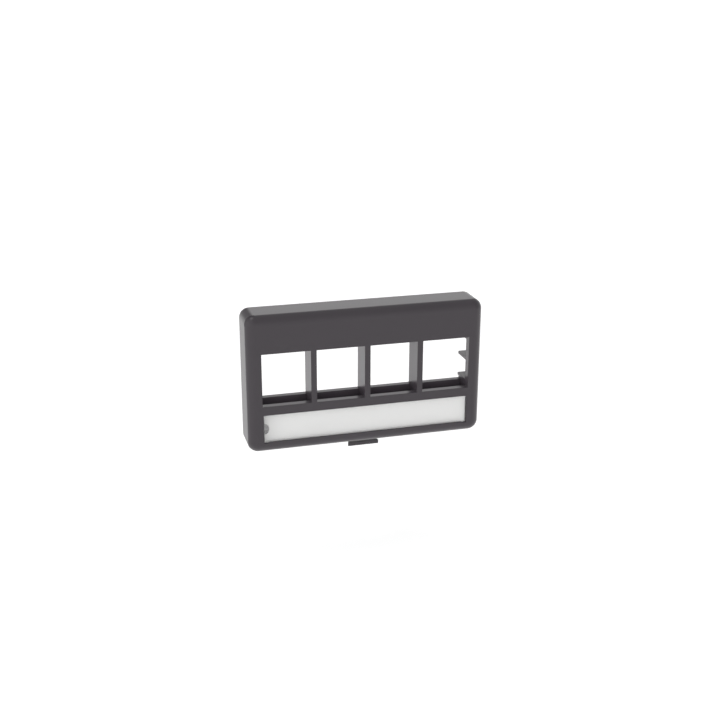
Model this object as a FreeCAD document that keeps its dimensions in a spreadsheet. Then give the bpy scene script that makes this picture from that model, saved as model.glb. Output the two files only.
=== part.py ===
import FreeCAD, Part
import math
import os
import Sketcher
from FreeCAD import Vector

# Snap-in faceplate for four keystone jacks, made for the 69 x 35 mm cut-out in office furniture.
# X runs along the width, Z up, and the front faces -Y.
# Y = 0 is the rear rim, the plane that rests on the furniture panel.

os.makedirs("parts", exist_ok=True)
doc = FreeCAD.newDocument("keystone_furniture_faceplate")
sheet = doc.addObject("Spreadsheet::Sheet", "Sheet")

VALUES = [
    # Outer shell
    ("plate_width", 76.2),
    ("plate_height", 44.45),
    ("skirt_depth", 11.4),
    ("skirt_wall", 1.0),
    ("face_thickness", 2.4),
    ("edge_radius", 3.4),
    ("edge_overrun", 0.15),
    ("corner_radius", 3.05),
    ("blank_corner_extra", 0.08),
    # Row of jack ports
    ("port_count", 4),
    ("port_width", 15.4),
    ("port_pitch", 17.22),
    ("top_margin", 11.995),
    ("middle_bar", 2.89),
    ("housing_depth", 8.7),
    ("housing_wall", 1.0),
    ("slot_end_depth", 6.62),
    ("foot_slot_drop", 2.22),
    ("latch_slot_rise", 3.17),
    ("shelf_wall", 1.4),
    ("ridge_rise", 0.63),
    ("catch_drop", 0.9),
    # Notches in the end walls of the housing, and the webs out to the skirt
    ("notch_rise", 2.08),
    ("notch_height", 13.45),
    ("notch_lip", 0.45),
    ("web_rise", 0.45),
    ("web_thickness", 0.95),
    ("web_depth", 9.6),
    # Label window
    ("bottom_margin", 3.375),
    ("window_half_width", 33.25),
    ("window_height", 9.18),
    ("lip_half_width", 31.9),
    ("lip_height", 0.36),
    ("lip_depth", 0.3),
    ("groove_height", 0.45),
    ("label_fit", 0.15),
    ("cover_thickness", 0.8),
    ("paper_thickness", 0.15),
    ("finger_notch_radius", 1.6),
    ("finger_notch_depth", 0.5),
    # How far the plate laps the furniture panel round its 69 x 35 mm cut-out
    ("side_lap", 3.6),
    ("top_lap", 4.725),
    ("cutout_fit", 0.4),
    ("panel_grip", 1.8),
    # Fixed hooks along the top and guides along the bottom
    ("hook_width", 7.0),
    ("hook_wall", 1.6),
    ("hook_rise", 1.5),
    ("hook_length", 1.6),
    ("guide_reach", 1.6),
    # Sprung latch in the middle of the bottom: two legs and a crossbar carry its release tab
    ("latch_width", 15.8),
    ("latch_wall", 1.4),
    ("latch_rise", 1.3),
    ("latch_length", 3.2),
    ("leg_width", 1.2),
    ("leg_depth", 9.4),
    ("leg_thickness", 1.2),
    ("crossbar_drop", 0.7),
    ("crossbar_height", 1.15),
    ("gap_fit", 0.6),
    ("tab_width", 10.2),
    ("tab_front_depth", 5.0),
    ("tab_head_depth", 1.4),
    ("tab_head_taper", 0.4),
    ("tab_neck_width", 6.0),
    ("tab_thickness", 1.3),
    ("tab_drop", 1.6),
    ("overcut", 1.0),
]
for row, (alias, value) in enumerate(VALUES, start=1):
    sheet.set(f"A{row}", alias)
    sheet.set(f"B{row}", str(value))
    sheet.setAlias(f"B{row}", alias)
doc.recompute()

# Heights and depths that several features share, written once.
# A depth is measured back from the front face, so Y is the depth less the skirt's depth.
FRONT_Y = "-Sheet.skirt_depth"
FACE_BACK_Y = "(Sheet.face_thickness - Sheet.skirt_depth)"
HOUSING_Y = "(Sheet.housing_depth - Sheet.skirt_depth)"
SLOT_END_Y = "(Sheet.slot_end_depth - Sheet.skirt_depth)"
ROW_END_X = "((Sheet.port_pitch * (Sheet.port_count - 1) + Sheet.port_width) / 2)"
SKIRT_INNER_X = "(Sheet.plate_width / 2 - Sheet.skirt_wall)"
SKIRT_BOTTOM_Z = "(-Sheet.plate_height / 2)"
WINDOW_BOTTOM_Z = "(Sheet.bottom_margin - Sheet.plate_height / 2)"
WINDOW_TOP_Z = f"({WINDOW_BOTTOM_Z} + Sheet.window_height)"
SILL_Z = f"({WINDOW_TOP_Z} + Sheet.middle_bar)"
PORT_TOP_Z = "(Sheet.plate_height / 2 - Sheet.top_margin)"
SLOT_FLOOR_Z = f"({SILL_Z} - Sheet.foot_slot_drop)"
SLOT_ROOF_Z = f"({PORT_TOP_Z} + Sheet.latch_slot_rise)"
RIDGE_TOP_Z = f"({SILL_Z} + Sheet.ridge_rise)"
CATCH_Z = f"({SLOT_ROOF_Z} - Sheet.catch_drop)"
NOTCH_BOTTOM_Z = f"({SILL_Z} + Sheet.notch_rise)"
NOTCH_TOP_Z = f"({NOTCH_BOTTOM_Z} + Sheet.notch_height)"
WEB_TOP_Z = f"(({SILL_Z} + {PORT_TOP_Z} + Sheet.web_thickness) / 2 + Sheet.web_rise)"
RECESS_DEPTH = "(Sheet.lip_depth + Sheet.cover_thickness + Sheet.paper_thickness)"
HOOK_TOP_Z = "(Sheet.plate_height / 2 - Sheet.top_lap - Sheet.cutout_fit)"
HOOK_END_X = "(Sheet.plate_width / 2 - Sheet.side_lap - Sheet.cutout_fit)"
TOUCHING = 1e-6
LEAST_CHANGE = 1e-3


def origin_plane(body, role):
    for feature in body.Origin.OriginFeatures:
        if feature.Role == role:
            return feature


def new_sketch(body, name, role, offset):
    """An empty sketch on an origin plane, moved along that plane's normal by an expression."""
    sketch = body.newObject("Sketcher::SketchObject", name)
    sketch.AttachmentSupport = [(origin_plane(body, role), "")]
    sketch.MapMode = "FlatFace"
    sketch.setExpression("AttachmentOffset.Base.z", offset)
    doc.recompute()
    return sketch


def tie(sketch, kind, geometry, point, value):
    """Hold one point at a driven distance from the sketch origin."""
    start = sketch.evalExpression(value)
    index = sketch.addConstraint(Sketcher.Constraint(kind, -1, 1, geometry, point, float(start)))
    sketch.setExpression(f"Constraints[{index}]", value)


def add_outline(sketch, points):
    """A closed outline of straight lines; each corner is a pair of expressions."""
    places = [Vector(sketch.evalExpression(u), sketch.evalExpression(v), 0) for u, v in points]
    first = sketch.GeometryCount
    count = len(points)
    for k in range(count):
        sketch.addGeometry(Part.LineSegment(places[k], places[(k + 1) % count]), False)
    for k in range(count):
        following = first + (k + 1) % count
        sketch.addConstraint(Sketcher.Constraint("Coincident", first + k, 2, following, 1))
    for k, (u, v) in enumerate(points):
        tie(sketch, "DistanceX", first + k, 1, u)
        tie(sketch, "DistanceY", first + k, 1, v)


def add_box(sketch, left, right, low, high):
    add_outline(sketch, [(left, low), (right, low), (right, high), (left, high)])


def add_rounded_box(sketch, half_width, half_height, radius):
    """A box centred on the origin with four equal tangent corners."""
    w = float(sketch.evalExpression(half_width))
    h = float(sketch.evalExpression(half_height))
    r = float(sketch.evalExpression(radius))
    first = sketch.GeometryCount
    sides = [((r - w, -h), (w - r, -h)), ((w, r - h), (w, h - r)),
             ((w - r, h), (r - w, h)), ((-w, h - r), (-w, r - h))]
    for start, end in sides:
        sketch.addGeometry(Part.LineSegment(Vector(*start, 0), Vector(*end, 0)), False)
    centres = [(w - r, r - h), (w - r, h - r), (r - w, h - r), (r - w, r - h)]
    quarter = math.pi / 2
    for k, centre in enumerate(centres):
        circle = Part.Circle(Vector(*centre, 0), Vector(0, 0, 1), r)
        sketch.addGeometry(Part.ArcOfCircle(circle, (k - 1) * quarter, k * quarter), False)
    for k in range(4):
        arc = first + 4 + k
        sketch.addConstraint(Sketcher.Constraint("Tangent", first + k, 2, arc, 1))
        sketch.addConstraint(Sketcher.Constraint("Tangent", arc, 2, first + (k + 1) % 4, 1))
        kind = "Horizontal" if k % 2 == 0 else "Vertical"
        sketch.addConstraint(Sketcher.Constraint(kind, first + k))
    for k in range(1, 4):
        sketch.addConstraint(Sketcher.Constraint("Equal", first + 4, first + 4 + k))
    index = sketch.addConstraint(Sketcher.Constraint("Radius", first + 4, r))
    sketch.setExpression(f"Constraints[{index}]", radius)
    tie(sketch, "DistanceY", first, 1, f"-{half_height}")
    tie(sketch, "DistanceX", first + 1, 1, half_width)
    tie(sketch, "DistanceY", first + 2, 1, half_height)
    tie(sketch, "DistanceX", first + 3, 1, f"-{half_width}")


def add_circle(sketch, centre_x, centre_z, radius):
    r = float(sketch.evalExpression(radius))
    centre = Vector(sketch.evalExpression(centre_x), sketch.evalExpression(centre_z), 0)
    circle = sketch.addGeometry(Part.Circle(centre, Vector(0, 0, 1), r), False)
    index = sketch.addConstraint(Sketcher.Constraint("Radius", circle, r))
    sketch.setExpression(f"Constraints[{index}]", radius)
    tie(sketch, "DistanceX", circle, 3, centre_x)
    tie(sketch, "DistanceY", circle, 3, centre_z)


def extrude(body, kind, name, sketch, length, reverse=False):
    """A Pad or a Pocket; an extrusion that changes no volume stops the build."""
    before = body.Shape.Volume if body.Tip else 0.0
    feature = body.newObject("PartDesign::" + kind, name)
    feature.Profile = sketch
    feature.Reversed = reverse
    feature.setExpression("Length", length)
    sketch.Visibility = False
    doc.recompute()
    if abs(body.Shape.Volume - before) < LEAST_CHANGE:
        raise RuntimeError(f"{name} changes nothing")
    return feature


def repeat(body, kind, name, originals, **settings):
    feature = body.newObject("PartDesign::" + kind, name)
    feature.Originals = originals
    for key, value in settings.items():
        setattr(feature, key, value)
    body.Tip = feature
    return feature


def mirror(body, name, originals):
    plane = (origin_plane(body, "YZ_Plane"), [""])
    feature = repeat(body, "Mirrored", name, originals, MirrorPlane=plane)
    doc.recompute()
    return feature


def new_body(name):
    body = doc.addObject("PartDesign::Body", name)
    body.Label = name
    body.Placement = FreeCAD.Placement()
    doc.recompute()
    return body


# Faceplate: one moulding.
faceplate = new_body("faceplate")

# The block is drawn oversize, rounded along the front, and trimmed to the plate outline.
# That leaves the arc meeting the sides at the soft crease seen on the object.
# The block's own corners are a little rounder than its front edge, so the rounding can run on.
sketch = new_sketch(faceplate, "block_outline", "XZ_Plane", "0")
add_rounded_box(sketch, "(Sheet.plate_width / 2 + Sheet.edge_overrun)",
                "(Sheet.plate_height / 2 + Sheet.edge_overrun)",
                "(Sheet.edge_radius + Sheet.blank_corner_extra)")
block = extrude(faceplate, "Pad", "block", sketch, "Sheet.skirt_depth")

front_y = -sheet.skirt_depth
front_edges = [
    f"Edge{k}" for k, edge in enumerate(block.Shape.Edges, start=1)
    if abs(edge.BoundBox.YMin - front_y) < TOUCHING and abs(edge.BoundBox.YMax - front_y) < TOUCHING
]
rounding = faceplate.newObject("PartDesign::Fillet", "front_edge_rounding")
rounding.Base = (block, front_edges)
rounding.setExpression("Radius", "Sheet.edge_radius")
doc.recompute()

sketch = new_sketch(faceplate, "trim_outline", "XZ_Plane", "0")
add_rounded_box(sketch, "(Sheet.plate_width / 2)", "(Sheet.plate_height / 2)",
                "Sheet.corner_radius")
add_box(sketch, "-Sheet.plate_width", "Sheet.plate_width",
        "-Sheet.plate_height", "Sheet.plate_height")
extrude(faceplate, "Pocket", "trim_to_outline", sketch, "Sheet.skirt_depth + Sheet.overcut", True)

# Hollow back
sketch = new_sketch(faceplate, "hollow_outline", "XZ_Plane", "0")
add_rounded_box(sketch, SKIRT_INNER_X, "(Sheet.plate_height / 2 - Sheet.skirt_wall)",
                "(Sheet.corner_radius - Sheet.skirt_wall)")
extrude(faceplate, "Pocket", "hollow", sketch, "Sheet.skirt_depth - Sheet.face_thickness", True)

# Jack housing behind the face
sketch = new_sketch(faceplate, "housing_outline", "XZ_Plane", f"-{FACE_BACK_Y}")
add_box(sketch, f"-({ROW_END_X} + Sheet.housing_wall)", f"{ROW_END_X} + Sheet.housing_wall",
        f"{SLOT_FLOOR_Z} - Sheet.shelf_wall", f"{SLOT_ROOF_Z} + Sheet.shelf_wall")
extrude(faceplate, "Pad", "housing", sketch, "Sheet.housing_depth - Sheet.face_thickness", True)

# One port seen from the side: window in the face, slots for the jack's foot and latch behind it,
# then the rear ridge below and the catch above.
sketch = new_sketch(faceplate, "port_profile", "YZ_Plane", f"-{ROW_END_X}")
add_outline(sketch, [
    (f"{FRONT_Y} - Sheet.overcut", SILL_Z),
    (FACE_BACK_Y, SILL_Z),
    (FACE_BACK_Y, SLOT_FLOOR_Z),
    (SLOT_END_Y, SLOT_FLOOR_Z),
    (SLOT_END_Y, RIDGE_TOP_Z),
    (f"{HOUSING_Y} + Sheet.overcut", RIDGE_TOP_Z),
    (f"{HOUSING_Y} + Sheet.overcut", CATCH_Z),
    (SLOT_END_Y, CATCH_Z),
    (SLOT_END_Y, SLOT_ROOF_Z),
    (FACE_BACK_Y, SLOT_ROOF_Z),
    (FACE_BACK_Y, PORT_TOP_Z),
    (f"{FRONT_Y} - Sheet.overcut", PORT_TOP_Z),
])
port = extrude(faceplate, "Pocket", "port", sketch, "Sheet.port_width", True)
ports = repeat(faceplate, "LinearPattern", "port_row", [port],
               Direction=(origin_plane(faceplate, "X_Axis"), [""]))
ports.setExpression("Length", "Sheet.port_pitch * (Sheet.port_count - 1)")
ports.setExpression("Occurrences", "Sheet.port_count")
doc.recompute()

# The end walls of the housing are notched from behind, so the outer ports stay open to the side.
sketch = new_sketch(faceplate, "end_notch_profile", "YZ_Plane", ROW_END_X)
add_box(sketch, f"{FACE_BACK_Y} + Sheet.notch_lip", f"{HOUSING_Y} + Sheet.overcut",
        NOTCH_BOTTOM_Z, NOTCH_TOP_Z)
notch = extrude(faceplate, "Pocket", "end_notch", sketch, "Sheet.housing_wall", True)
mirror(faceplate, "end_notches", [notch])

# Two webs tie each end of the housing to the skirt.
sketch = new_sketch(faceplate, "web_outline", "XZ_Plane", f"-{FACE_BACK_Y}")
for top in (WEB_TOP_Z, NOTCH_BOTTOM_Z):
    add_box(sketch, ROW_END_X, f"{SKIRT_INNER_X} + Sheet.skirt_wall / 2",
            f"{top} - Sheet.web_thickness", top)
webs = extrude(faceplate, "Pad", "webs", sketch, "Sheet.web_depth - Sheet.face_thickness", True)
mirror(faceplate, "web_pair", [webs])

# Label window, its deeper recess with a groove along the top, and the lip that holds the cover in
sketch = new_sketch(faceplate, "window_outline", "XZ_Plane", "Sheet.skirt_depth")
add_box(sketch, "-Sheet.window_half_width", "Sheet.window_half_width",
        WINDOW_BOTTOM_Z, WINDOW_TOP_Z)
extrude(faceplate, "Pocket", "label_window", sketch, "Sheet.lip_depth")

sketch = new_sketch(faceplate, "recess_outline", "XZ_Plane", "Sheet.skirt_depth - Sheet.lip_depth")
add_box(sketch, "-Sheet.window_half_width", "Sheet.window_half_width",
        WINDOW_BOTTOM_Z, f"{WINDOW_TOP_Z} + Sheet.groove_height")
extrude(faceplate, "Pocket", "label_recess", sketch, "Sheet.cover_thickness + Sheet.paper_thickness")

sketch = new_sketch(faceplate, "lip_outline", "XZ_Plane", "Sheet.skirt_depth")
add_box(sketch, "-Sheet.lip_half_width", "Sheet.lip_half_width",
        WINDOW_BOTTOM_Z, f"{WINDOW_BOTTOM_Z} + Sheet.lip_height")
extrude(faceplate, "Pad", "retaining_lip", sketch, "Sheet.lip_depth", True)

# Fixed hooks near the top corners
hook_low = f"({HOOK_TOP_Z} - Sheet.hook_wall)"
hook_end_y = "(Sheet.panel_grip + Sheet.hook_length)"
sketch = new_sketch(faceplate, "hook_profile", "YZ_Plane", f"({HOOK_END_X} - Sheet.hook_width)")
add_outline(sketch, [
    (FACE_BACK_Y, hook_low),
    (hook_end_y, hook_low),
    (hook_end_y, f"{HOOK_TOP_Z} + Sheet.hook_rise"),
    ("Sheet.panel_grip", f"{HOOK_TOP_Z} + Sheet.hook_rise"),
    ("Sheet.panel_grip", HOOK_TOP_Z),
    (FACE_BACK_Y, HOOK_TOP_Z),
])
hook = extrude(faceplate, "Pad", "hook", sketch, "Sheet.hook_width")

# Plain guides near the bottom corners
sketch = new_sketch(faceplate, "guide_outline", "XZ_Plane", f"-{FACE_BACK_Y}")
add_box(sketch, f"{HOOK_END_X} - Sheet.hook_width", HOOK_END_X,
        f"-{HOOK_TOP_Z}", f"Sheet.hook_wall - {HOOK_TOP_Z}")
guide = extrude(faceplate, "Pad", "guide", sketch,
                "Sheet.skirt_depth - Sheet.face_thickness + Sheet.guide_reach", True)
mirror(faceplate, "hooks_and_guides", [hook, guide])

# Gap in the bottom of the skirt for the legs of the latch to move in
sketch = new_sketch(faceplate, "latch_gap_outline", "XZ_Plane", "0")
add_box(sketch, "-(Sheet.latch_width / 2 + Sheet.gap_fit)", "Sheet.latch_width / 2 + Sheet.gap_fit",
        f"{SKIRT_BOTTOM_Z} - Sheet.overcut", f"{SKIRT_BOTTOM_Z} + Sheet.skirt_wall")
extrude(faceplate, "Pocket", "latch_gap", sketch,
        "Sheet.skirt_depth - Sheet.leg_depth + Sheet.gap_fit", True)

# Sprung latch arm with its barb
arm_low = f"(-{HOOK_TOP_Z})"
arm_high = f"(Sheet.latch_wall - {HOOK_TOP_Z})"
sketch = new_sketch(faceplate, "latch_arm_profile", "YZ_Plane", "-Sheet.latch_width / 2")
add_outline(sketch, [
    (FACE_BACK_Y, arm_high),
    (FACE_BACK_Y, arm_low),
    ("Sheet.panel_grip", arm_low),
    ("Sheet.panel_grip", f"{arm_low} - Sheet.latch_rise"),
    ("Sheet.panel_grip + Sheet.latch_length", arm_low),
    ("Sheet.panel_grip + Sheet.latch_length", arm_high),
])
extrude(faceplate, "Pad", "latch_arm", sketch, "Sheet.latch_width")

# Stirrup under the arm: two legs down through the gap, joined by a crossbar under the skirt
crossbar_top = f"({SKIRT_BOTTOM_Z} - Sheet.crossbar_drop)"
crossbar_low = f"({SKIRT_BOTTOM_Z} - Sheet.crossbar_drop - Sheet.crossbar_height)"
leg_outer = "(Sheet.latch_width / 2)"
leg_inner = "(Sheet.latch_width / 2 - Sheet.leg_width)"
leg_y = "(Sheet.leg_depth - Sheet.skirt_depth)"
sketch = new_sketch(faceplate, "stirrup_outline", "XZ_Plane", f"-{leg_y}")
add_outline(sketch, [
    (f"-{leg_outer}", crossbar_low),
    (leg_outer, crossbar_low),
    (leg_outer, arm_high),
    (leg_inner, arm_high),
    (leg_inner, crossbar_top),
    (f"-{leg_inner}", crossbar_top),
    (f"-{leg_inner}", arm_high),
    (f"-{leg_outer}", arm_high),
])
extrude(faceplate, "Pad", "stirrup", sketch, "Sheet.leg_thickness", True)

# Release tab: a wide head in front, narrowing to the neck that joins the crossbar
tab_y = "(Sheet.tab_front_depth - Sheet.skirt_depth)"
head_back_y = f"({tab_y} + Sheet.tab_head_depth)"
head_back_x = "(Sheet.tab_width / 2 - Sheet.tab_head_taper)"
neck_x = "(Sheet.tab_neck_width / 2)"
neck_back_y = f"({leg_y} + Sheet.leg_thickness)"
sketch = new_sketch(faceplate, "tab_outline", "XY_Plane",
                    f"{SKIRT_BOTTOM_Z} - Sheet.tab_drop - Sheet.tab_thickness")
add_outline(sketch, [
    ("-Sheet.tab_width / 2", tab_y),
    ("Sheet.tab_width / 2", tab_y),
    (head_back_x, head_back_y),
    (neck_x, head_back_y),
    (neck_x, neck_back_y),
    (f"-{neck_x}", neck_back_y),
    (f"-{neck_x}", head_back_y),
    (f"-{head_back_x}", head_back_y),
])
extrude(faceplate, "Pad", "release_tab", sketch, "Sheet.tab_thickness")

# Paper label on the floor of the recess and a clear cover over it.
# Both have the same half-round notch at the left end, where a fingernail lifts the cover.
paper_side = "(Sheet.window_half_width - Sheet.label_fit)"
paper_low = f"({WINDOW_BOTTOM_Z} + Sheet.label_fit)"
paper_top = f"({WINDOW_TOP_Z} + Sheet.groove_height - Sheet.label_fit)"


def label_layer(name, back_depth, thickness, notch_depth):
    body = new_body(name)
    sketch = new_sketch(body, f"{name}_outline", "XZ_Plane", f"Sheet.skirt_depth - {back_depth}")
    add_box(sketch, f"-{paper_side}", paper_side, paper_low, paper_top)
    extrude(body, "Pad", f"{name}_sheet", sketch, thickness)
    front_depth = f"({back_depth} - {thickness})"
    sketch = new_sketch(body, f"{name}_notch_outline", "XZ_Plane", f"Sheet.skirt_depth - {front_depth}")
    add_circle(sketch, f"-{paper_side}", f"({WINDOW_TOP_Z} + {WINDOW_BOTTOM_Z}) / 2",
               "Sheet.finger_notch_radius")
    extrude(body, "Pocket", f"{name}_notch", sketch, notch_depth)
    return body


label_strip = label_layer("label_strip", RECESS_DEPTH, "Sheet.paper_thickness", "Sheet.paper_thickness")
label_cover = label_layer("label_cover", "(Sheet.lip_depth + Sheet.cover_thickness)",
                          "Sheet.cover_thickness", "Sheet.finger_notch_depth")

doc.recompute()
for item in doc.Objects:
    if "Invalid" in item.State or "Error" in item.State:
        raise RuntimeError(f"{item.Name} did not build")
for body in (faceplate, label_strip, label_cover):
    if body.Shape.isNull() or not body.Shape.isValid() or len(body.Shape.Solids) != 1:
        raise RuntimeError(f"{body.Label} is not one valid solid")
    body.Shape.exportStep(f"parts/{body.Label}.step")
    print(body.Label, round(body.Shape.Volume, 1), "mm3")
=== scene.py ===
import math

import bmesh
import bpy
from mathutils import Matrix, Vector


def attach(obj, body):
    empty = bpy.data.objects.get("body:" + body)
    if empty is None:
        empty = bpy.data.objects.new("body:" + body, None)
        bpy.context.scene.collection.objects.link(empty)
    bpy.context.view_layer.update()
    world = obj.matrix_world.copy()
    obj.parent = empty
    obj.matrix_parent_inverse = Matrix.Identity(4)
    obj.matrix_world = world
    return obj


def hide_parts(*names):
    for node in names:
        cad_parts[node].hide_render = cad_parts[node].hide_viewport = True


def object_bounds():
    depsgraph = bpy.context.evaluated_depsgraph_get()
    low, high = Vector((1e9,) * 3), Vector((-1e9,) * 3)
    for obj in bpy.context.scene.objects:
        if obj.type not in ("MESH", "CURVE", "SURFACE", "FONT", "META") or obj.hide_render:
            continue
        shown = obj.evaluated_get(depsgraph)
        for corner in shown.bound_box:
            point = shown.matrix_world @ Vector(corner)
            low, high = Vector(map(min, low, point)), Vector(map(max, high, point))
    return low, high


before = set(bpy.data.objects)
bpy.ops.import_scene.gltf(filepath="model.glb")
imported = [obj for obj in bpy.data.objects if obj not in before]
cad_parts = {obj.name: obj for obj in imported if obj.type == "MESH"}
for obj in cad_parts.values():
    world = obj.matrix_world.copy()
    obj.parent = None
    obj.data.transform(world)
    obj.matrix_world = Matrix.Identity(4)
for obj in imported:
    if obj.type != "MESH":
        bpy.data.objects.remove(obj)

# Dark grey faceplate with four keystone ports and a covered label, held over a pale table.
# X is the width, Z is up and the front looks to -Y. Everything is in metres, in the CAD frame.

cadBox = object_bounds()
mm = 0.001


# Helpers that every piece uses

def linearColour(hexText):
    channels = [int(hexText[k:k + 2], 16) / 255 for k in (1, 3, 5)]
    linear = [c / 12.92 if c <= 0.04045 else ((c + 0.055) / 1.055) ** 2.4 for c in channels]
    return (*linear, 1.0)


def addNode(tree, kind, at, settings=None, values=None, links=None):
    node = tree.nodes.new(kind)
    node.location = at
    for key, value in (settings or {}).items():
        setattr(node, key, value)
    for key, value in (values or {}).items():
        node.inputs[key].default_value = value
    for key, source in (links or {}).items():
        tree.links.new(source, node.inputs[key])
    return node


def newMaterial(name):
    material = bpy.data.materials.new(name)
    material.use_nodes = True
    material.node_tree.nodes.clear()
    return material


def addPiece(name, mesh, material, nodeName):
    piece = bpy.data.objects.new(name, mesh)
    bpy.context.scene.collection.objects.link(piece)
    mesh.materials.append(material)
    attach(piece, "root")
    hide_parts(nodeName)
    return piece


# Camera, at the photograph's viewing angle

cameraView = {
    "place": (-89.66, -322.51, 118.28),  # mm
    "yaw": 15.64,  # degrees to the right of +Y
    "pitch": 19.182,  # degrees down
    "roll": 0.151,
    "lens": 55.065,  # mm
    "sensor": 36,  # mm, square
    "clip": (0.01, 100),  # m
}


def makeCamera(view):
    yaw, pitch, roll = (math.radians(view[key]) for key in ("yaw", "pitch", "roll"))
    forward = Vector((math.sin(yaw) * math.cos(pitch), math.cos(yaw) * math.cos(pitch), -math.sin(pitch)))
    right = Vector((math.cos(yaw), -math.sin(yaw), 0))
    up = right.cross(forward)
    turnedRight = right * math.cos(roll) + up * math.sin(roll)
    turnedUp = up * math.cos(roll) - right * math.sin(roll)
    camera = bpy.data.objects.new("camera", bpy.data.cameras.new("camera"))
    camera.data.sensor_width = view["sensor"]
    camera.data.lens = view["lens"]
    camera.data.clip_start, camera.data.clip_end = view["clip"]
    turn = Matrix((turnedRight, turnedUp, -forward)).transposed().to_4x4()
    camera.matrix_world = Matrix.Translation(Vector(view["place"]) * mm) @ turn
    bpy.context.scene.collection.objects.link(camera)
    bpy.context.scene.camera = camera


makeCamera(cameraView)
print("camera is in place")


# Moulded ABS, dark grey: its skin copies a polished tool, so it mirrors the pale room softly,
# most of all where it is seen at a slant

mouldedGrey = {
    "colour": "#383338",
    "colourCloud": "#3a353a",
    "paintedFillInside": "#524c52",  # lighter inside the jack housing: painted fill light in its hollows
    "insideHalf": (34.6, 11.7),  # mm, half width and half height of the jack housing
    "insideMiddle": 2.5,  # mm, its middle height
    "insideFrom": -11.1,  # mm, Y just behind the front face
    "insideBlend": 0.3,  # mm of depth over which the colour changes
    "roughness": 0.285,
    "roughnessChange": 0.02,
    "ior": 1.45,  # ABS has about 1.53, but the white table would show too much in it
    "grainSize": 0.25,  # mm, coarser than the tool's real grain, which would not show
    "grainDetail": 3.0,
    "grainDepth": 0.0003,  # mm
    "flowSize": 9.0,  # mm, cloudiness of the skin where the melt ran
    "flowDetail": 2.0,
}


def makeMouldedGrey(look):
    material = newMaterial("moulded_abs_dark_grey")
    tree = material.node_tree
    place = addNode(tree, "ShaderNodeTexCoord", (-1200, 0))
    flow = addNode(tree, "ShaderNodeTexNoise", (-900, 200),
                   values={"Scale": 1 / (look["flowSize"] * mm), "Detail": look["flowDetail"]},
                   links={"Vector": place.outputs["Object"]})
    grain = addNode(tree, "ShaderNodeTexNoise", (-900, -200),
                    values={"Scale": 1 / (look["grainSize"] * mm), "Detail": look["grainDetail"],
                            "Roughness": 0.55},
                    links={"Vector": place.outputs["Object"]})
    skin = addNode(tree, "ShaderNodeMix", (-500, 450), {"data_type": "RGBA"},
                   {6: linearColour(look["colour"]), 7: linearColour(look["colourCloud"])},
                   {0: flow.outputs["Fac"]})

    # 1 inside the box of the jack housing, behind the front face
    halfX, halfZ = look["insideHalf"]
    boxed = addNode(tree, "ShaderNodeMapping", (-1000, 700), None,
                    {"Location": (0, 0, -look["insideMiddle"] / halfZ),
                     "Scale": (1 / (halfX * mm), 1 / mm, 1 / (halfZ * mm))},
                    {"Vector": place.outputs["Object"]})
    folded = addNode(tree, "ShaderNodeVectorMath", (-800, 700), {"operation": "ABSOLUTE"},
                     links={0: boxed.outputs["Vector"]})
    sides = addNode(tree, "ShaderNodeSeparateXYZ", (-650, 700), links={"Vector": folded.outputs["Vector"]})
    depth = addNode(tree, "ShaderNodeSeparateXYZ", (-650, 850), links={"Vector": boxed.outputs["Vector"]})
    outermost = addNode(tree, "ShaderNodeMath", (-500, 700), {"operation": "MAXIMUM"},
                        links={0: sides.outputs["X"], 1: sides.outputs["Z"]})
    within = addNode(tree, "ShaderNodeMapRange", (-350, 700), None,
                     {"From Min": 1.0, "From Max": 1.01, "To Min": 1.0, "To Max": 0.0},
                     {"Value": outermost.outputs["Value"]})
    behind = addNode(tree, "ShaderNodeMapRange", (-350, 950), None,
                     {"From Min": look["insideFrom"],
                      "From Max": look["insideFrom"] + look["insideBlend"]},
                     {"Value": depth.outputs["Y"]})
    inside = addNode(tree, "ShaderNodeMath", (-200, 700), {"operation": "MULTIPLY"},
                     links={0: within.outputs["Result"], 1: behind.outputs["Result"]})
    # painted light: the lighter colour inside the housing stands in for fill light in its slots and hollows
    colour = addNode(tree, "ShaderNodeMix", (-300, 350), {"data_type": "RGBA"},
                     {7: linearColour(look["paintedFillInside"])},
                     {0: inside.outputs["Value"], 6: skin.outputs[2]})

    rough = addNode(tree, "ShaderNodeMapRange", (-500, 0), None,
                    {"From Min": 0.3, "From Max": 0.7,
                     "To Min": look["roughness"] - look["roughnessChange"] / 2,
                     "To Max": look["roughness"] + look["roughnessChange"] / 2},
                    {"Value": grain.outputs["Fac"]})
    bump = addNode(tree, "ShaderNodeBump", (-500, -250), None,
                   {"Strength": 1.0, "Distance": look["grainDepth"] * mm},
                   {"Height": grain.outputs["Fac"]})
    plastic = addNode(tree, "ShaderNodeBsdfPrincipled", (-150, 0), None, {"IOR": look["ior"]},
                      {"Base Color": colour.outputs[2], "Roughness": rough.outputs["Result"],
                       "Normal": bump.outputs["Normal"]})
    addNode(tree, "ShaderNodeOutputMaterial", (200, 0), links={"Surface": plastic.outputs["BSDF"]})
    return material


# Plain paper under the cover: uncoated, so it is matt and shows a faint cloud of fibres, with painted shade
# towards its left end

labelPaper = {
    "colour": "#dfdfde",
    "colourFibre": "#dadad9",
    "roughness": 0.85,
    "ior": 1.45,
    "fibreLength": 0.8,  # mm
    "fibreAcross": 3.0,  # times finer up the label than along it
    "fibreDetail": 4.0,
    "fibreDepth": 0.004,  # mm
    "paintedShadeEnd": "#c2c2c1",  # greyer towards the left end: painted shade, where the window's wall and the cover's edge keep light off the paper
    "endFrom": -33.0,  # mm, X of that end
    "endTo": -22.0,  # mm, X where the grey has faded out
    "endFade": 3.5,  # how fast it fades
}


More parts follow.
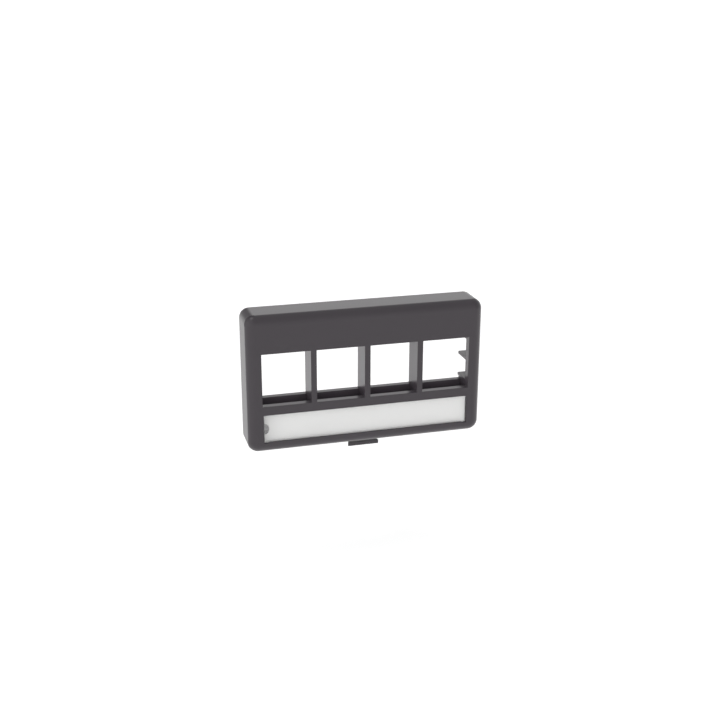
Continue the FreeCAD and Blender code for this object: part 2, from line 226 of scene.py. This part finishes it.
def makePaper(look):
    material = newMaterial("uncoated_white_paper")
    tree = material.node_tree
    place = addNode(tree, "ShaderNodeTexCoord", (-1200, 0))
    stretch = addNode(tree, "ShaderNodeMapping", (-1000, 0), None,
                      {"Scale": (1.0, 1.0, look["fibreAcross"])}, {"Vector": place.outputs["Object"]})
    fibre = addNode(tree, "ShaderNodeTexNoise", (-800, 0), None,
                    {"Scale": 1 / (look["fibreLength"] * mm), "Detail": look["fibreDetail"],
                     "Roughness": 0.6},
                    {"Vector": stretch.outputs["Vector"]})
    white = addNode(tree, "ShaderNodeMix", (-500, 150), {"data_type": "RGBA"},
                    {6: linearColour(look["colour"]), 7: linearColour(look["colourFibre"])},
                    {0: fibre.outputs["Fac"]})
    # painted shade: the paper greys towards its left end, where the window's wall and the cover's edge
    # shade it
    across = addNode(tree, "ShaderNodeSeparateXYZ", (-1000, 300), links={"Vector": place.outputs["Object"]})
    nearShadedEnd = addNode(tree, "ShaderNodeMapRange", (-800, 300), None,
                      {"From Min": look["endFrom"] * mm, "From Max": look["endTo"] * mm,
                       "To Min": 1.0, "To Max": 0.0}, {"Value": across.outputs["X"]})
    fading = addNode(tree, "ShaderNodeMath", (-600, 300), {"operation": "POWER"},
                     {1: look["endFade"]}, {0: nearShadedEnd.outputs["Result"]})
    colour = addNode(tree, "ShaderNodeMix", (-300, 250), {"data_type": "RGBA"},
                     {7: linearColour(look["paintedShadeEnd"])},
                     {0: fading.outputs["Value"], 6: white.outputs[2]})
    bump = addNode(tree, "ShaderNodeBump", (-500, -150), None,
                   {"Strength": 1.0, "Distance": look["fibreDepth"] * mm},
                   {"Height": fibre.outputs["Fac"]})
    sheet = addNode(tree, "ShaderNodeBsdfPrincipled", (-150, 0), None,
                    {"Roughness": look["roughness"], "IOR": look["ior"]},
                    {"Base Color": colour.outputs[2], "Normal": bump.outputs["Normal"]})
    addNode(tree, "ShaderNodeOutputMaterial", (200, 0), links={"Surface": sheet.outputs["BSDF"]})
    return material


# Clear polycarbonate cover over the paper: moulded smooth, so its faces mirror the room faintly
# and its edges mirror the paper. Its thumb recess is frosted, which turns that half-disc milky.

clearCover = {
    "roughness": 0.03,
    "ior": 1.585,
    "rippleSize": 4.0,  # mm
    "rippleDepth": 0.0008,  # mm
    "frostCentre": (-33.1, -14.26),  # mm, X and Z of the thumb recess
    "frostRadius": 1.58,  # mm
    "frostBlend": 0.02,  # mm, its soft rim
    "frostColour": "#f4f4f4",
    "frostDensity": 0.1,
}


def makeClearCover(look):
    material = newMaterial("clear_polycarbonate")
    tree = material.node_tree
    place = addNode(tree, "ShaderNodeTexCoord", (-900, 0))
    ripple = addNode(tree, "ShaderNodeTexNoise", (-700, 0), None,
                     {"Scale": 1 / (look["rippleSize"] * mm), "Detail": 1.0},
                     {"Vector": place.outputs["Object"]})
    bump = addNode(tree, "ShaderNodeBump", (-450, -100), None,
                   {"Strength": 1.0, "Distance": look["rippleDepth"] * mm},
                   {"Height": ripple.outputs["Fac"]})
    clear = addNode(tree, "ShaderNodeBsdfPrincipled", (-200, 0), None,
                    {"Base Color": (1, 1, 1, 1), "IOR": look["ior"], "Roughness": look["roughness"],
                     "Transmission Weight": 1.0}, {"Normal": bump.outputs["Normal"]})

    # light on its way to the paper goes straight through
    straight = addNode(tree, "ShaderNodeBsdfTransparent", (-50, -150))
    rays = addNode(tree, "ShaderNodeLightPath", (-450, 500))
    lit = addNode(tree, "ShaderNodeMath", (-200, 400), {"operation": "MAXIMUM"}, None,
                  {0: rays.outputs["Is Shadow Ray"], 1: rays.outputs["Is Diffuse Ray"]})
    through = addNode(tree, "ShaderNodeMixShader", (200, 0), None, None,
                      {0: lit.outputs["Value"], 1: clear.outputs["BSDF"], 2: straight.outputs["BSDF"]})

    # distance from the middle of the thumb recess, seen from the front
    centreX, centreZ = look["frostCentre"]
    flat = addNode(tree, "ShaderNodeVectorMath", (-700, 400), {"operation": "MULTIPLY"},
                   {1: (1.0, 0.0, 1.0)}, {0: place.outputs["Object"]})
    apart = addNode(tree, "ShaderNodeVectorMath", (-500, 300), {"operation": "DISTANCE"},
                    {1: (centreX * mm, 0.0, centreZ * mm)}, {0: flat.outputs["Vector"]})
    rim = look["frostRadius"] + look["frostBlend"]
    milky = addNode(tree, "ShaderNodeMapRange", (-200, 200), None,
                    {"From Min": look["frostRadius"] * mm, "From Max": rim * mm,
                     "To Min": look["frostDensity"], "To Max": 0.0},
                    {"Value": apart.outputs["Value"]})
    frost = addNode(tree, "ShaderNodeBsdfDiffuse", (-50, -300), None,
                    {"Color": linearColour(look["frostColour"]), "Roughness": 0.5},
                    {"Normal": bump.outputs["Normal"]})
    cover = addNode(tree, "ShaderNodeMixShader", (400, 0), None, None,
                    {0: milky.outputs["Result"], 1: through.outputs["Shader"], 2: frost.outputs["BSDF"]})
    addNode(tree, "ShaderNodeOutputMaterial", (600, 0), links={"Surface": cover.outputs["Shader"]})
    return material


greyPlastic = makeMouldedGrey(mouldedGrey)
whitePaper = makePaper(labelPaper)
clearPlastic = makeClearCover(clearCover)
print("materials are made")


# A copy of a CAD solid with its sharp edges eased, as a polished tool leaves them

cleaning = {
    "weld": 0.0005,  # mm between points that are one
    "flat": 0.5,  # degrees between triangles of one face
}


def easedSolid(nodeName, edges):
    body = bmesh.new()
    body.from_mesh(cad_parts[nodeName].data)
    bmesh.ops.remove_doubles(body, verts=body.verts, dist=cleaning["weld"] * mm)
    bmesh.ops.dissolve_limit(body, angle_limit=math.radians(cleaning["flat"]),
                             verts=body.verts, edges=body.edges)
    sharp = [edge for edge in body.edges
             if edge.calc_face_angle_signed(0) > math.radians(edges["sharperThan"])]
    bmesh.ops.bevel(body, geom=sharp, offset=edges["easing"] * mm, segments=edges["steps"],
                    profile=0.5, affect="EDGES", clamp_overlap=True)
    for face in body.faces:
        face.smooth = True
    return body


def finishSolid(body, name, material, edges, nodeName):
    mesh = bpy.data.meshes.new(name)
    body.to_mesh(mesh)
    body.free()
    mesh.set_sharp_from_angle(angle=math.radians(edges["sharperThan"]))
    piece = addPiece(name, mesh, material, nodeName)
    weighted = piece.modifiers.new("even_normals", "WEIGHTED_NORMAL")
    weighted.keep_sharp = True
    weighted.weight = 100  # flat faces stay flat beside their eased edges


# Faceplate

faceplateEdges = {
    "easing": 0.12,  # mm
    "steps": 2,
    "sharperThan": 40.0,  # degrees between two faces
}

finishSolid(easedSolid("faceplate", faceplateEdges), "moulded_faceplate",
            greyPlastic, faceplateEdges, "faceplate")
print("faceplate is made")


# Label: the paper lies on the floor of the window and the clear cover stands just off it

paperEdges = {
    "easing": 0.02,  # mm
    "steps": 1,
    "sharperThan": 40.0,  # degrees
}
coverEdges = {
    "easing": 0.06,  # mm
    "steps": 2,
    "sharperThan": 40.0,  # degrees
    "spread": 0.1,  # mm that each end reaches into the play at the ends of the window
    "backGap": 0.03,  # mm, air between the cover and the paper
    "frontGap": 0.02,  # mm, play behind the lip
}


def makeCover(edges):
    body = easedSolid("label_cover", edges)
    front = min(v.co.y for v in body.verts)
    back = max(v.co.y for v in body.verts)
    newFront = front + edges["frontGap"] * mm
    newBack = back - edges["backGap"] * mm
    halfWidth = max(v.co.x for v in body.verts)
    for v in body.verts:
        v.co.y = newFront + (v.co.y - front) / (back - front) * (newBack - newFront)
        v.co.x *= 1 + edges["spread"] * mm / halfWidth
    finishSolid(body, "label_cover_clear", clearPlastic, edges, "label_cover")


finishSolid(easedSolid("label_strip", paperEdges), "label_paper", whitePaper,
            paperEdges, "label_strip")
makeCover(coverEdges)
print("label is made")


# Table: opal acrylic lit from behind, so it is plain white and the part's shadow hardly shows

table = {
    "colour": "#fafafa",
    "colourCloud": "#f6f6f6",
    "cloudsPerMetre": 6.0,
    "radius": 20.0,  # m
    "corners": 96,
    "below": 35.0,  # mm under the part, which its mount holds up
    "roughness": 0.6,
    "specular": 0.2,
    "glow": 0.355,  # the light from behind
}


def makeTable(look):
    material = newMaterial("backlit_white_acrylic")
    tree = material.node_tree
    place = addNode(tree, "ShaderNodeTexCoord", (-900, 0))
    cloud = addNode(tree, "ShaderNodeTexNoise", (-700, 0), None, {"Scale": look["cloudsPerMetre"]},
                    {"Vector": place.outputs["Object"]})
    colour = addNode(tree, "ShaderNodeMix", (-400, 100), {"data_type": "RGBA"},
                     {6: linearColour(look["colour"]), 7: linearColour(look["colourCloud"])},
                     {0: cloud.outputs["Fac"]})
    acrylic = addNode(tree, "ShaderNodeBsdfPrincipled", (-100, 0), None,
                      {"Roughness": look["roughness"], "Specular IOR Level": look["specular"],
                       "Emission Color": (1, 1, 1, 1), "Emission Strength": look["glow"]},
                      {"Base Color": colour.outputs[2]})
    addNode(tree, "ShaderNodeOutputMaterial", (200, 0), links={"Surface": acrylic.outputs["BSDF"]})
    body = bmesh.new()
    bmesh.ops.create_circle(body, cap_ends=True, segments=look["corners"], radius=look["radius"])
    mesh = bpy.data.meshes.new("table")
    body.to_mesh(mesh)
    body.free()
    mesh.materials.append(material)
    top = bpy.data.objects.new("table", mesh)
    top.location.z = cadBox[0].z - look["below"] * mm
    bpy.context.scene.collection.objects.link(top)


makeTable(table)


# Room: pale walls and a dimmer ceiling, brighter on the left and dimmer on the right

room = {
    "walls": 1.02,  # brightness
    "ceiling": 0.75,
    "ceilingFrom": 0.3,  # sine of the height angle where the walls begin to dim
    "ceilingTo": 0.65,
    "windowSide": 0.3,  # added to the left
    "farSide": -0.3,  # added to the right
    "sideFrom": (0.2, 0.9),  # share of X where a side begins and where it is whole
    "backWall": 0.17,  # added behind the part
    "backFrom": (0.2, 0.6),  # share of Y where it begins and where it is whole
    "curtain": -0.8,  # added to its left, a grey curtain
    "curtainEdge": (-0.02, 0.14),  # share of X to Y where it ends
}
softLamps = {  # degrees to the right of +Y, degrees up, radius in radians, brightness
    "overhead": (-81, 69, 0.16, 8.0),
    "frontLeft": (-127, 47, 0.15, 1.1),
    "left": (-98, 22, 0.15, 1.1),
}


def makeRoom(look, lamps):
    world = bpy.data.worlds.new("pale_room")
    bpy.context.scene.world = world
    world.use_nodes = True
    tree = world.node_tree
    tree.nodes.clear()
    smooth = {"interpolation_type": "SMOOTHSTEP"}
    sideBegins, sideWhole = look["sideFrom"]
    backBegins, backWhole = look["backFrom"]
    place = addNode(tree, "ShaderNodeTexCoord", (-1500, 0))
    split = addNode(tree, "ShaderNodeSeparateXYZ", (-1300, 0), links={"Vector": place.outputs["Generated"]})
    height = addNode(tree, "ShaderNodeMapRange", (-1000, 300), smooth,
                     {"From Min": look["ceilingFrom"], "From Max": look["ceilingTo"],
                      "To Min": look["walls"], "To Max": look["ceiling"]}, {"Value": split.outputs["Z"]})
    left = addNode(tree, "ShaderNodeMapRange", (-1000, 50), smooth,
                   {"From Min": -sideWhole, "From Max": -sideBegins,
                    "To Min": look["windowSide"], "To Max": 0.0},
                   {"Value": split.outputs["X"]})
    right = addNode(tree, "ShaderNodeMapRange", (-1000, -200), smooth,
                    {"From Min": sideBegins, "From Max": sideWhole,
                     "To Min": 0.0, "To Max": look["farSide"]},
                    {"Value": split.outputs["X"]})
    behind = addNode(tree, "ShaderNodeMapRange", (-1000, -450), smooth,
                     {"From Min": backBegins, "From Max": backWhole, "To Min": 0.0, "To Max": 1.0},
                     {"Value": split.outputs["Y"]})
    slant = addNode(tree, "ShaderNodeMath", (-1200, -700), {"operation": "DIVIDE"}, None,
                    {0: split.outputs["X"], 1: split.outputs["Y"]})
    drape = addNode(tree, "ShaderNodeMapRange", (-1000, -700), smooth,
                    {"From Min": look["curtainEdge"][0], "From Max": look["curtainEdge"][1],
                     "To Min": look["backWall"] + look["curtain"], "To Max": look["backWall"]},
                    {"Value": slant.outputs["Value"]})
    hung = addNode(tree, "ShaderNodeMath", (-750, -550), {"operation": "MULTIPLY"}, None,
                   {0: behind.outputs["Result"], 1: drape.outputs["Result"]})
    parts = [left.outputs["Result"], right.outputs["Result"], hung.outputs["Value"]]
    for k, (azimuth, rise, radius, brightness) in enumerate(lamps.values()):
        turn, up = math.radians(azimuth), math.radians(rise)
        towards = (math.sin(turn) * math.cos(up), math.cos(turn) * math.cos(up), math.sin(up))
        away = addNode(tree, "ShaderNodeVectorMath", (-1000, -1000 - 250 * k), {"operation": "DISTANCE"},
                       {1: towards}, {0: place.outputs["Generated"]})
        lamp = addNode(tree, "ShaderNodeMapRange", (-750, -1000 - 250 * k), None,
                       {"From Max": radius, "To Min": brightness, "To Max": 0.0},
                       {"Value": away.outputs["Value"]})
        parts.append(lamp.outputs["Result"])
    total = height.outputs["Result"]
    for k, part in enumerate(parts):
        total = addNode(tree, "ShaderNodeMath", (-600 + 60 * k, 200), {"operation": "ADD"}, None,
                        {0: total, 1: part}).outputs["Value"]
    light = addNode(tree, "ShaderNodeBackground", (-100, 0), None, {"Color": (1, 1, 1, 1)},
                    {"Strength": total})
    addNode(tree, "ShaderNodeOutputWorld", (100, 0), links={"Surface": light.outputs["Background"]})


makeRoom(room, softLamps)
bpy.context.scene.view_settings.view_transform = "Standard"
print("table and light are set")
